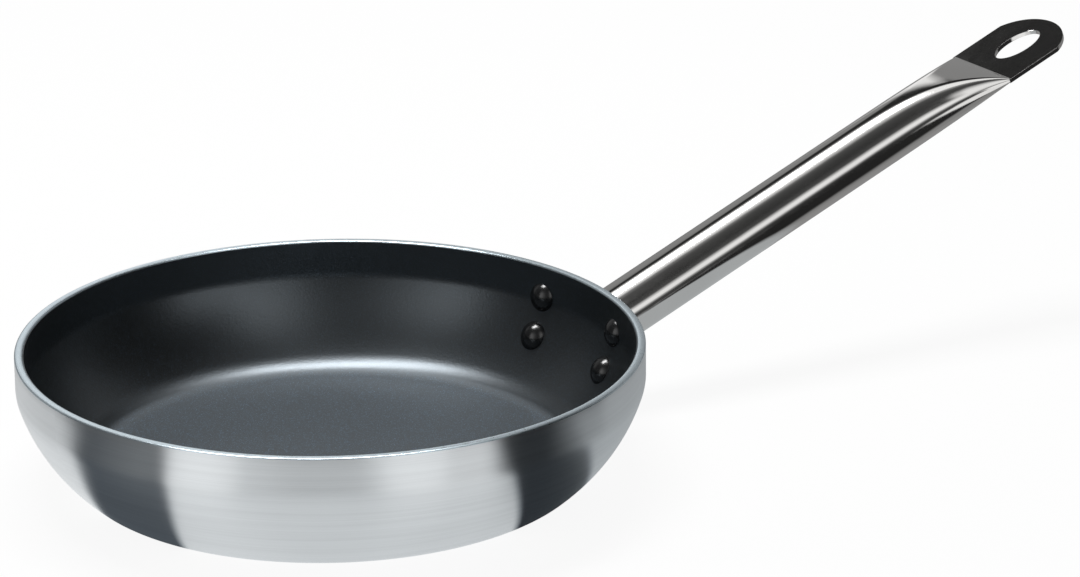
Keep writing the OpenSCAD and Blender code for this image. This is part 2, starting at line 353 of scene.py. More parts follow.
class Shader(Nodes):
    """Builds one material's nodes"""

    def __init__(self, name):
        self.material = bpy.data.materials.new(name)
        self.material.use_nodes = True
        super().__init__(self.material.node_tree)
        self.surface = self.tree.nodes["Principled BSDF"]
        self.place = self.new("ShaderNodeTexCoord").outputs["Object"]

    def set(self, **values):
        for key, value in values.items():
            self.surface.inputs[key.replace("_", " ").title().replace("Ior", "IOR")].default_value = value

    def drawn(self, scale, turn=(0, 0, 0)):
        """Place turned and stretched, for marks that run one way"""
        mapping = self.new("ShaderNodeMapping")
        mapping.inputs["Rotation"].default_value = turn
        mapping.inputs["Scale"].default_value = scale
        self.link(self.place, mapping.inputs["Vector"])
        return mapping.outputs[0]

    def noise(self, vector, scale, detail=2.0, roughness=0.5):
        node = self.new("ShaderNodeTexNoise")
        node.inputs["Scale"].default_value = scale
        node.inputs["Detail"].default_value = detail
        node.inputs["Roughness"].default_value = roughness
        self.link(vector, node.inputs["Vector"])
        return node.outputs["Fac"]

    def bump(self, height, distance, strength=1.0, before=None):
        node = self.new("ShaderNodeBump")
        node.inputs["Distance"].default_value = distance
        node.inputs["Strength"].default_value = strength
        self.link(height, node.inputs["Height"])
        if before:
            self.link(before, node.inputs["Normal"])
        return node.outputs["Normal"]

    def around_axis(self, along, round_scale):
        """Place as (radius and height, angle): a pattern that reads it is drawn out round the Z axis"""
        split = self.new("ShaderNodeSeparateXYZ")
        self.link(self.place, split.inputs[0])
        x, y, z = split.outputs
        join = self.new("ShaderNodeCombineXYZ")
        self.link(self.math("MULTIPLY", self.from_axis(x, y), along), join.inputs[0])
        self.link(self.math("MULTIPLY", z, along), join.inputs[1])
        self.link(self.math("MULTIPLY", self.math("ARCTAN2", y, x), round_scale), join.inputs[2])
        return join.outputs[0]

    def tangent_round_axis(self, anisotropic):
        """Runs the grain round the Z axis; the quarter turn blurs across it, up and down the wall"""
        tangent = self.new("ShaderNodeTangent", direction_type="RADIAL", axis="Z")
        self.link(tangent.outputs[0], self.surface.inputs["Tangent"])
        self.set(anisotropic=anisotropic, anisotropic_rotation=0.25)

    def paint(self, colour, roughness, normal):
        """Links what varies over the surface"""
        self.link(colour, self.surface.inputs["Base Color"])
        self.link(roughness, self.surface.inputs["Roughness"])
        self.link(normal, self.surface.inputs["Normal"])


def toned(colour, share):
    """The colour made darker or lighter"""
    return tuple(c * share for c in colour[:3])


def turned_aluminium():
    """Satin aluminium with fine turned lines round the pan"""
    m = Shader("turned_aluminium")
    colour = colours().aluminium
    m.set(metallic=1.0)
    m.tangent_round_axis(1.0)
    lines = m.noise(m.around_axis(along=2600, round_scale=1.2), 1.0, detail=3, roughness=0.6)
    broad = m.noise(m.around_axis(along=420, round_scale=0.9), 1.0, detail=2)
    cloud = m.noise(m.place, 38, detail=3)
    shade = m.plus(m.math("MULTIPLY", lines, 0.5), broad, 0.5)
    fine = m.bump(lines, distance=0.00002, strength=0.3)
    m.paint(
        m.ramp(shade, [(0.36, toned(colour, 0.92)), (0.62, colour[:])]),
        m.plus(m.spread(lines, 0.27, 0.32), cloud, 0.04),
        m.bump(broad, distance=0.00004, strength=0.06, before=fine),
    )
    return m.material


def machined_rim():
    """Flat faced rim, cut bright"""
    m = Shader("machined_rim")
    colour = colours().rim
    m.set(metallic=1.0)
    m.tangent_round_axis(0.45)
    lines = m.noise(m.around_axis(along=5200, round_scale=2.0), 1.0, detail=2)
    nick = m.noise(m.place, 260, detail=2)
    m.paint(
        m.ramp(lines, [(0.35, toned(colour, 0.9)), (0.6, colour[:])]),
        m.plus(m.spread(lines, 0.22, 0.30), nick, 0.05),
        m.bump(lines, distance=0.00002, strength=0.4),
    )
    return m.material


def flecked_lining():
    """Dark non-stick lining with a fine glittering grain"""
    m = Shader("flecked_lining")
    dark, bright = colours().lining, colours().fleck
    cells = m.new("ShaderNodeTexVoronoi", feature="F1")
    cells.inputs["Scale"].default_value = 1900
    m.link(m.place, cells.inputs["Vector"])
    size = m.noise(m.place, 1500, detail=1)
    near = m.math("SUBTRACT", m.math("MULTIPLY", size, 0.62), cells.outputs["Distance"])
    flecks = m.ramp(near, [(0.0, (0, 0, 0)), (0.16, (1, 1, 1))])
    # The floor, whose face lies just under these heights, is rougher than the wall and shows its flecks
    split = m.new("ShaderNodeSeparateXYZ")
    m.link(m.place, split.inputs[0])
    low = m.spread(split.outputs["Z"], 1, 0, 0.0049, 0.0062)
    flecks = m.math("MULTIPLY", flecks, m.spread(low, 0.2, 1))
    drift = m.noise(m.place, 24, detail=4, roughness=0.6)
    tone = m.ramp(drift, [(0.3, toned(dark, 0.85)), (0.7, toned(dark, 1.12))])
    grain = m.noise(m.place, 1700, detail=2)
    finish = m.plus(m.spread(low, 0.27, 0.50), drift, 0.05)
    peel = m.bump(m.noise(m.place, 900, detail=2), distance=0.00009, strength=0.6)
    m.paint(
        m.mix_colour(flecks, tone, bright[:]),
        m.plus(finish, grain, 0.06),
        m.bump(grain, distance=0.00003, strength=0.6, before=peel),
    )
    m.link(m.math("MULTIPLY", flecks, 0.9), m.surface.inputs["Metallic"])
    m.set(ior=2.15, specular_tint=(0.82, 0.92, 1.0, 1))
    return m.material


def polished_steel():
    """Mirror-polished tube with faint lengthwise polishing marks"""
    m = Shader("polished_steel")
    colour = colours().handle
    m.set(metallic=1.0)
    marks = m.noise(m.drawn((14, 900, 900), (0, handle().tilt, 0)), 1.0, detail=3, roughness=0.6)
    cloud = m.noise(m.place, 30, detail=3)
    wave = m.bump(m.noise(m.place, 75, detail=1), distance=0.00025, strength=0.25)
    m.paint(
        m.ramp(cloud, [(0.3, toned(colour, 0.93)), (0.7, colour[:])]),
        m.plus(m.spread(marks, 0.045, 0.085), cloud, 0.03),
        m.bump(marks, distance=0.000004, strength=0.35, before=wave),
    )
    return m.material


def satin_steel():
    """Brushed plate of the bracket"""
    m = Shader("satin_steel")
    colour = colours().bracket
    m.set(metallic=1.0)
    brush = m.noise(m.drawn((60, 60, 2400)), 1.0, detail=3)
    m.paint(
        m.ramp(brush, [(0.35, toned(colour, 0.82)), (0.65, colour[:])]),
        m.spread(brush, 0.26, 0.42),
        m.bump(brush, distance=0.00003, strength=0.5),
    )
    return m.material


def weld_metal():
    """Cleaned weld bead with a trace of heat colour"""
    m = Shader("weld_metal")
    colour = colours().bracket
    m.set(metallic=1.0)
    scale = m.noise(m.place, 420, detail=4, roughness=0.65)
    warm = (colour[0] * 0.86, colour[1] * 0.76, colour[2] * 0.62)
    m.paint(
        m.ramp(scale, [(0.3, warm), (0.6, toned(colour, 0.9))]),
        m.spread(scale, 0.30, 0.5),
        m.bump(scale, distance=0.00008, strength=0.5),
    )
    return m.material


def rivet_metal():
    """Pressed rivet metal"""
    m = Shader("rivet_metal")
    colour = colours().rivet
    m.set(metallic=1.0)
    dents = m.noise(m.place, 520, detail=3)
    m.paint(
        m.ramp(dents, [(0.3, toned(colour, 0.84)), (0.65, colour[:])]),
        m.spread(dents, 0.2, 0.34),
        m.bump(dents, distance=0.00005, strength=0.4),
    )
    return m.material


def rivet_film():
    """Black film on the domed heads, smoother than the lining"""
    m = Shader("rivet_film")
    colour = colours().film
    wear = m.noise(m.place, 900, detail=3)
    m.paint(
        m.ramp(wear, [(0.35, colour[:]), (0.72, toned(colour, 1.8))]),
        m.spread(wear, 0.17, 0.25),
        m.bump(m.noise(m.place, 620, detail=2), distance=0.00003, strength=0.35),
    )
    m.set(ior=1.75)
    return m.material


class PAN_OT_bowl(bpy.types.Operator):
    """Spin the aluminium bowl, with its turned outside and machined rim"""

    bl_idname = "cookware.bowl"
    bl_label = "Bowl"

    def execute(self, context):
        b, w = bowl(), Wall()
        top = b.height
        inside = w.rim - b.wall
        pen = Pen(0, 0)
        pen.line(w.heel.x, 0, 12)
        pen.arc(w.heel, w.heel_turn - QUARTER_TURN, 10)
        pen.arc(w.flank, w.turn - w.heel_turn, 16)
        pen.arc(w.shoulder, -w.turn, 12)
        pen.line(w.rim, top - b.rim_round, 4)
        pen.arc((w.rim - b.rim_round, 0, top - b.rim_round), -QUARTER_TURN, 4)
        pen.line(inside + b.rim_round, top, 2)
        pen.arc((inside + b.rim_round, 0, top - b.rim_round), -QUARTER_TURN, 4)
        pen.line(inside, w.band_z, 3)
        pen.arc(w.shoulder, w.turn, 10)
        pen.arc(w.flank, w.inner_turn - w.turn, 14)
        pen.arc(w.inner_heel, QUARTER_TURN - w.inner_turn, 12)
        pen.line(0, b.floor, 10)
        bm = pen.revolve(b.turns)
        # The machined finish covers the flat face and both rounds; the bit over 1 lets the rounds' feet in
        edge = top - b.rim_round * 1.01
        for face in bm.faces:
            face.material_index = 1 if min(v.co.z for v in face.verts) > edge else 0
        finish_piece("bowl", bm, [turned_aluminium(), machined_rim()], ["pan_body"])
        return {"FINISHED"}


class PAN_OT_lining(bpy.types.Operator):
    """Spin the non-stick lining as a thin closed shell"""

    bl_idname = "cookware.lining"
    bl_label = "Lining"

    def execute(self, context):
        b, w = bowl(), Wall()
        back, front = b.seat, b.seat + b.lining
        inside = w.rim - b.wall
        top = b.height - b.rim_round
        pen = Pen(0, b.floor + back)
        pen.line(w.inner_heel.x, b.floor + back, 6)
        pen.arc(w.inner_heel, w.inner_turn - QUARTER_TURN, 10)
        pen.arc(w.flank, w.turn - w.inner_turn, 12)
        pen.arc(w.shoulder, -w.turn, 8)
        pen.line(inside - back, top, 2)
        pen.line(inside - front, top)
        pen.line(inside - front, w.band_z, 4)
        pen.arc(w.shoulder, w.turn, 12)
        pen.arc(w.flank, w.inner_turn - w.turn, 16)
        pen.arc(w.inner_heel, QUARTER_TURN - w.inner_turn, 16)
        pen.line(0, b.floor + front, 16)
        bm = pen.revolve(b.turns)
        finish_piece("lining", bm, [flecked_lining()], ["nonstick_coating"], math.radians(60))
        return {"FINISHED"}


def on_handle(x, y, z):
    """A place given along, across and above the handle's axis, in the pan's frame"""
    h = handle()
    c, s = math.cos(h.tilt), math.sin(h.tilt)
    return Vector((bowl().rim_radius + x * c - z * s, y, h.rim_height + x * s + z * c))


# The search for the tube's foot: how far it looks either way along the handle, and how often it halves that
FOOT_REACH = 0.03
FOOT_HALVINGS = 30


def foot_of_tube(wall, angle, radius, off):
    """How far along the handle the line on its side at this angle comes to the bracket's face"""
    y, z = radius * math.cos(angle), radius * math.sin(angle)
    low, high = -FOOT_REACH, FOOT_REACH
    for _ in range(FOOT_HALVINGS):
        mid = (low + high) / 2
        p = on_handle(mid, y, z)
        if math.hypot(p.x, p.y) > wall.radius(p.z, off):
            high = mid
        else:
            low = mid
    return (low + high) / 2


class PAN_OT_handle(bpy.types.Operator):
    """Draw the round tube out to its pressed flat end, and cut the tab with its hanging eye"""

    bl_idname = "cookware.handle"
    bl_label = "Handle"

    facets = 144
    press_steps = 72
    # Where the even stations along the straight part begin, past the slanting foot
    straight_from = 0.018
    straight_steps = 8
    eye_facets = 96
    # How far the flat end reaches back into the tube
    root = 0.0008
    # Rounding of the flat end's edges, as a share of its thickness
    rounding = 0.40

    def tube(self, bm):
        h, w = handle(), Wall()
        off = h.plate + 3 * bowl().seat
        ring = bmesh.ops.create_circle(bm, segments=self.facets, radius=h.tube_radius)["verts"]
        angles = [(k + 0.5) * FULL_TURN / self.facets for k in range(self.facets)]
        for v, a in zip(ring, angles):
            foot = foot_of_tube(w, a, h.tube_radius, off)
            v.co = (foot, h.tube_radius * math.cos(a), h.tube_radius * math.sin(a))
        bmesh.ops.contextual_create(bm, geom=ring)
        press_from = h.fold - h.press_length
        stations = [self.straight_from]
        stations += even(self.straight_from, press_from - self.straight_from, self.straight_steps)
        stations += even(press_from, h.press_length, self.press_steps)
        edges = [e for e in bm.edges if all(v in ring for v in e.verts)]
        for x in stations:
            geom = bmesh.ops.extrude_edge_only(bm, edges=edges)["geom"]
            ring = corners(geom)
            edges = [e for e in geom if isinstance(e, bmesh.types.BMEdge) and all(v in ring for v in e.verts)]
            part = max(0.0, (x - press_from) / h.press_length) ** h.press_ease
            high = h.tube_radius + (h.tab / 2 - h.tube_radius) * part
            wide = h.tube_radius + (h.tab_width / 2 - h.tube_radius) * part
            for v, a in zip(ring, angles):
                c, s = math.cos(a), math.sin(a)
                v.co = (x, math.copysign(wide - high, c) + high * c, high * s)
        bmesh.ops.contextual_create(bm, geom=ring)

    def tab(self, bm):
        h = handle()
        before = set(bm.verts)

        def added(part):
            return all(v not in before for v in part.verts)

        half = h.tab_width / 2
        centre = h.fold + h.tab_length - h.tip_radius
        tip = bmesh.ops.create_circle(bm, segments=self.facets, radius=h.tip_radius)["verts"]
        for v in tip:
            x = v.co.x + centre if v.co.x > -SLACK else h.fold - self.root
            v.co = (x, max(-half, min(half, v.co.y)), 0)
        bmesh.ops.remove_doubles(bm, verts=tip, dist=SLACK)
        eye = bmesh.ops.create_circle(bm, segments=self.eye_facets, radius=h.eye_length / 2)["verts"]
        for v in eye:
            v.co.y *= h.eye_width / h.eye_length
            v.co.x += h.fold + h.eye_at
        edges = [e for e in bm.edges if added(e)]
        bmesh.ops.triangle_fill(bm, edges=edges, use_beauty=True)
        faces = [f for f in bm.faces if added(f)]
        bmesh.ops.translate(bm, verts=list({v for f in faces for v in f.verts}), vec=(0, 0, -h.tab / 2))
        grown = bmesh.ops.extrude_face_region(bm, geom=faces)["geom"]
        bmesh.ops.translate(bm, verts=corners(grown), vec=(0, 0, h.tab))
        bmesh.ops.recalc_face_normals(bm, faces=[f for f in bm.faces if added(f)])
        # The edges round the tip and the eye, above and below
        square_corner = 1.2
        rim = [
            e for e in bm.edges
            if added(e) and len(e.link_faces) == 2 and e.calc_face_angle(0) > square_corner
            and abs(e.verts[0].co.z - e.verts[1].co.z) < MERGE_WITHIN
            and max(v.co.x for v in e.verts) > h.fold
        ]
        bmesh.ops.bevel(
            bm, geom=rim, offset=h.tab * self.rounding, offset_type="OFFSET", segments=5, profile=0.5,
            affect="EDGES", material=-1, clamp_overlap=True
        )

    def execute(self, context):
        h = handle()
        bm = bmesh.new()
        self.tube(bm)
        bmesh.ops.recalc_face_normals(bm, faces=bm.faces)
        self.tab(bm)
        turn = Matrix.Translation((bowl().rim_radius, 0, h.rim_height)) @ Matrix.Rotation(-h.tilt, 4, "Y")
        bmesh.ops.transform(bm, matrix=turn, verts=bm.verts)
        finish_piece("handle", bm, [polished_steel()], ["handle_tube"], math.radians(7))
        return {"FINISHED"}


class PAN_OT_bracket(bpy.types.Operator):
    """Cut the bracket plate flat and bend it to the wall"""

    bl_idname = "cookware.bracket"
    bl_label = "Bracket"

    # Strips that the flat plate is cut into, fine enough to bend
    strips_across = 30
    strips_up = 20

    def cut(self, bm, across, start, width, strips):
        """Cuts the plate into even strips"""
        for place in even(start, width, strips)[:-1]:
            geom = bm.verts[:] + bm.edges[:] + bm.faces[:]
            bmesh.ops.bisect_plane(bm, geom=geom, dist=SLACK, plane_co=across * place, plane_no=across)

    def execute(self, context):
        h, w, b = handle(), Wall(), bowl()
        bm = bmesh.new()
        across = h.plate_width / 2 - h.plate_corner
        middle = (h.plate_low + h.plate_high) / 2
        upward = (h.plate_high - h.plate_low) / 2 - h.plate_corner
        facets = 64
        outline = bmesh.ops.create_circle(bm, segments=facets, radius=h.plate_corner)["verts"]
        half_step = Matrix.Rotation(math.pi / facets, 3, "Z")
        bmesh.ops.rotate(bm, verts=outline, cent=(0, 0, 0), matrix=half_step)
        for v in outline:
            y, z = v.co.x, v.co.y
            v.co = (0, y + math.copysign(across, y), middle + z + math.copysign(upward, z))
        bmesh.ops.contextual_create(bm, geom=outline)
        self.cut(bm, Vector((0, 1, 0)), -h.plate_width / 2, h.plate_width, self.strips_across)
        self.cut(bm, Vector((0, 0, 1)), h.plate_low, h.plate_high - h.plate_low, self.strips_up)
        grown = bmesh.ops.extrude_face_region(bm, geom=bm.faces[:])["geom"]
        outer = set(corners(grown))
        for v in bm.verts:
            y, z = v.co.y, v.co.z
            off = b.seat + (h.plate if v in outer else 0)
            r = w.radius(z, off)
            v.co = (math.sqrt(r * r - y * y), y, z)
        bmesh.ops.recalc_face_normals(bm, faces=bm.faces)
        square_corner, rounding = 1.0, 0.0004
        rim = [e for e in bm.edges if len(e.link_faces) == 2 and e.calc_face_angle(0) > square_corner]
        bmesh.ops.bevel(
            bm, geom=rim, offset=rounding, offset_type="OFFSET", segments=3, profile=0.5, affect="EDGES",
            material=-1, clamp_overlap=True
        )
        finish_piece("bracket", bm, [satin_steel()], ["handle_bracket"])
        return {"FINISHED"}


class PAN_OT_weld(bpy.types.Operator):
    """Run the weld bead round the foot of the tube"""

    bl_idname = "cookware.weld"
    bl_label = "Weld"

    def fullness(self, angle):
        """Share of the bead's size here: it ripples, unevenly, from one drop of weld to the next"""
        return 0.86 + 0.10 * abs(math.sin(angle * 21 + 0.4 * math.sin(angle * 5)))

    def execute(self, context):
        h, w = handle(), Wall()
        off = h.plate + 2 * bowl().seat
        bm = bmesh.new()
        ring = bmesh.ops.create_circle(bm, segments=14, radius=h.bead)["verts"]
        edges = bm.edges[:]
        bmesh.ops.rotate(bm, verts=ring, cent=(0, 0, 0), matrix=Matrix.Rotation(QUARTER_TURN, 3, "Z"))
        bmesh.ops.translate(bm, verts=ring, vec=(0, h.tube_radius, 0))
        bmesh.ops.spin(
            bm, geom=ring + edges, cent=(0, 0, 0), axis=(1, 0, 0), angle=FULL_TURN, steps=168,
            use_merge=True, use_duplicate=False
        )
        bmesh.ops.remove_doubles(bm, verts=bm.verts, dist=MERGE_WITHIN)
        for v in bm.verts:
            angle = math.atan2(v.co.z, v.co.y)
            out = math.hypot(v.co.y, v.co.z) - h.tube_radius
            fullness = self.fullness(angle)
            x = foot_of_tube(w, angle, h.tube_radius, off) + v.co.x * fullness
            reach = h.tube_radius + out * fullness
            v.co = on_handle(x, reach * math.cos(angle), reach * math.sin(angle))
        bmesh.ops.recalc_face_normals(bm, faces=bm.faces)
        finish_piece("weld", bm, [weld_metal()], ["handle_weld"])
        return {"FINISHED"}


def rivet_place(side, height):
    """Matrix that puts a rivet's origin on the wall's outer face and its +Z outwards"""
    h, w, b = handle(), Wall(), bowl()
    z = h.rivet_high if height == "high" else h.rivet_low
    turn = w.turn_at(z, -b.wall)
    p = w.point(turn, 0, z)
    return (
        Matrix.Rotation(side * h.rivet_angle, 4, "Z")
        @ Matrix.Translation(p)
        @ Matrix.Rotation(QUARTER_TURN + turn, 4, "Y")
    )


def finish_at_rivets(prefix, profile, facets, material, node_prefix):
    """Spins a profile at each rivet's place; profile draws it afresh each time"""
    for name, (side, height) in RIVETS.items():
        bm = profile().revolve(facets)
        bmesh.ops.transform(bm, matrix=rivet_place(side, height), verts=bm.verts)
        finish_piece(prefix + name, bm, [material], [node_prefix + name])


def dome_radius(radius, height):
    """Radius of the ball that a dome of this radius and height is cut from"""
    return (radius * radius + height * height) / (2 * height)


class PAN_OT_rivets(bpy.types.Operator):
    """Spin the four rivets, each with its domed head, shank and closing head"""

    bl_idname = "cookware.rivets"
    bl_label = "Rivets"

    # Both heads have an upright edge this high
    edge = 0.0004

    def profile(self):
        h, b = handle(), bowl()
        head_z = -(b.wall + 2 * b.seat + b.lining)
        tail_z = h.plate + 2 * b.seat
        head = dome_radius(h.head_radius, h.head_height)
        tail = dome_radius(h.tail_radius, h.tail_height)
        pen = Pen(0, head_z - h.head_height)
        pen.arc((0, 0, head_z - h.head_height + head), -math.asin(h.head_radius / head), 10)
        pen.line(h.head_radius, head_z + self.edge)
        pen.line(h.shank_radius, head_z + self.edge)
        pen.line(h.shank_radius, tail_z - self.edge, 2)
        pen.line(h.tail_radius, tail_z - self.edge)
        pen.line(h.tail_radius, tail_z)
        pen.arc((0, 0, tail_z + h.tail_height - tail), -math.asin(h.tail_radius / tail), 10)
        return pen

    def execute(self, context):
        finish_at_rivets("rivet_body_", self.profile, 64, rivet_metal(), "rivet_")
        return {"FINISHED"}


class PAN_OT_rivet_films(bpy.types.Operator):
    """Spin the black film over each domed head, down to the lining"""

    bl_idname = "cookware.rivet_films"
    bl_label = "Rivet films"

    # How far the film runs past the foot of the dome
    skirt = 0.0005

    def profile(self):
        h, b = handle(), bowl()
        seat = -(b.wall + 2 * b.seat + b.lining)
        radius, rise = (size + b.seat + b.lining for size in (h.head_radius, h.head_height))
        inner_radius, inner_rise = (size + b.seat for size in (h.head_radius, h.head_height))
        outer = dome_radius(radius, rise)
        inner = dome_radius(inner_radius, inner_rise)
        pen = Pen(0, seat - rise)
        pen.arc((0, 0, seat - rise + outer), -math.asin(radius / outer), 16)
        pen.line(radius, seat + self.skirt, 2)
        pen.line(inner_radius, seat + self.skirt)
        pen.line(inner_radius, seat)
        pen.arc((0, 0, seat - inner_rise + inner), math.asin(inner_radius / inner), 12)
        return pen

    def execute(self, context):
        finish_at_rivets("rivet_film_", self.profile, 72, rivet_film(), "rivet_coating_")
        return {"FINISHED"}


# The photograph's view: where the camera looks from, in degrees and metres
VIEW_AZIMUTH = -31.549
VIEW_RISE = 21.037
VIEW_DISTANCE = 2.2783
VIEW_TARGET = (0, 0, 0.02786)
VIEW_YAW, VIEW_PITCH, VIEW_ROLL = 2.1959, 1.1739, 1.4236
# The lens is 5500 pixels long on a picture 1080 pixels wide
SENSOR = 36
LENS = 5500 / 1080 * SENSOR

# The overhead lamp, as the camera stands: right, away and up in metres, its width and depth, its watts
LAMP_PLACE = (-0.16, 0.39, 1.45)
LAMP_SIZE = (0.96, 0.44)
LAMP_POWER = 17.0
# Strength of the even light that rough surfaces get from all round
EVEN_LIGHT = 0.3

# What shining metal sees round the pan. Each panel is a list of height in degrees and grey,
# and three of them share their highest part
HIGH = ((72, 0.12), (82, 0.26), (89, 0.85))
# In front: a dim middle, a panel on each side and a low strip beyond the right one
FRONT_MIDDLE = (
    (-90, 0.75), (-2, 0.75), (0, 0.08), (6, 0.10), (18, 0.15), (40, 0.15), (52, 0.11), (62, 0.10),
    *HIGH,
)
FRONT_LEFT = (
    (-90, 1.0), (-2, 1.0), (0, 0.30), (3, 0.60), (10, 1.0), (26, 1.0), (34, 0.85), (42, 0.45),
    (50, 0.20), (60, 0.10), *HIGH,
)
FRONT_RIGHT = (
    (-90, 1.0), (-2, 1.0), (0, 0.20), (5, 0.40), (13, 0.90), (24, 1.0), (38, 0.92), (48, 0.60),
    (57, 0.26), (66, 0.13), *HIGH,
)
FRONT_STRIP = (
    (-90, 0.90), (-13, 0.95), (-8, 0.06), (0, 0.06), (5, 0.40), (9, 0.95), (17, 0.97), (22, 0.55),
    (28, 0.08), (43, 0.04), (54, 0.045), (64, 0.06), (72, 0.08), (82, 0.22), (89, 0.85),
)
BEHIND = (
    (-90, 0.26), (-40, 0.30), (-30, 0.30), (-12, 0.22), (0, 0.23), (8, 0.265), (27, 0.265), (36, 0.25),
    (44, 0.16), (48, 0.04), (55, 0.04), (58, 0.5), (61, 1.0),
)
GAP_LEFT = ((-90, 0.10), (60, 0.10), (75, 0.16), (89, 0.85))
GAP_RIGHT = ((-90, 0.26), (-42, 0.26), (-36, 0.02), (60, 0.02), (75, 0.10), (89, 0.85))
# Angle from the front at which the front ends and the back begins, each with its fade
FRONT_ENDS = (58, 62)
BACK_BEGINS = (110, 113)
FLAG_GREY = (0.022, 0.022, 0.022, 1)

# Cards on the floor. Their edges are given as side, then angle from the front at each of two rings
NEAR_RING, FAR_RING = 0.12, 0.24
FRONT_CARD_LEFT = (-1, 37.0, 47.0)
FRONT_CARD_RIGHT = (1, 44.5, 43.5)
FRONT_CARD_GREY = (0.67, 0.67, 0.67, 1)
SIDE_CARDS = (((-1, 65.0, 83.5), 0.78), ((1, 73.0, 67.3), 0.43))
# Shade of the cards at each brightness: cool where they are black, white where they are lit
CARD_TONES = ((0, (0, 0, 0)), (0.1, (0.086, 0.1, 0.116)), (0.5, (0.48, 0.5, 0.51)), (1, (1, 1, 1)))
FRONT_CARD_FADE, SIDE_CARD_FADE = 1.2, 2.0
# Distances from the middle between which the front card's near part gives way to its far part
FAR_PART_BEGINS = (0.16, 0.22)
# Brightness of that far part in the middle, and how much brighter it is at the sides
FAR_PART_LEVEL, FAR_PART_MORE = 0.56, 0.60
CARDS_END = (0.28, 0.30)


def swing(first, second, degrees):
    """Turns two axes in the plane that they span"""
    c, s = math.cos(math.radians(degrees)), math.sin(math.radians(degrees))
    return first * c - second * s, first * s + second * c


def camera_matrix():
    """Looks along the view, then turns by yaw, pitch and roll about the camera's own axes"""
    around = Matrix.Rotation(math.radians(VIEW_AZIMUTH), 3, "Z")
    rise = math.radians(VIEW_RISE)
    right = around @ Vector((1, 0, 0))
    up = around @ Vector((0, math.sin(rise), math.cos(rise)))
    ahead = around @ Vector((0, math.cos(rise), -math.sin(rise)))
    place = Vector(VIEW_TARGET) - VIEW_DISTANCE * ahead
    right, ahead = swing(right, ahead, VIEW_YAW)
    up, ahead = swing(up, ahead, VIEW_PITCH)
    right, up = swing(right, up, VIEW_ROLL)
    turn = Matrix((right, up, -ahead)).transposed().to_4x4()
    return Matrix.Translation(place) @ turn


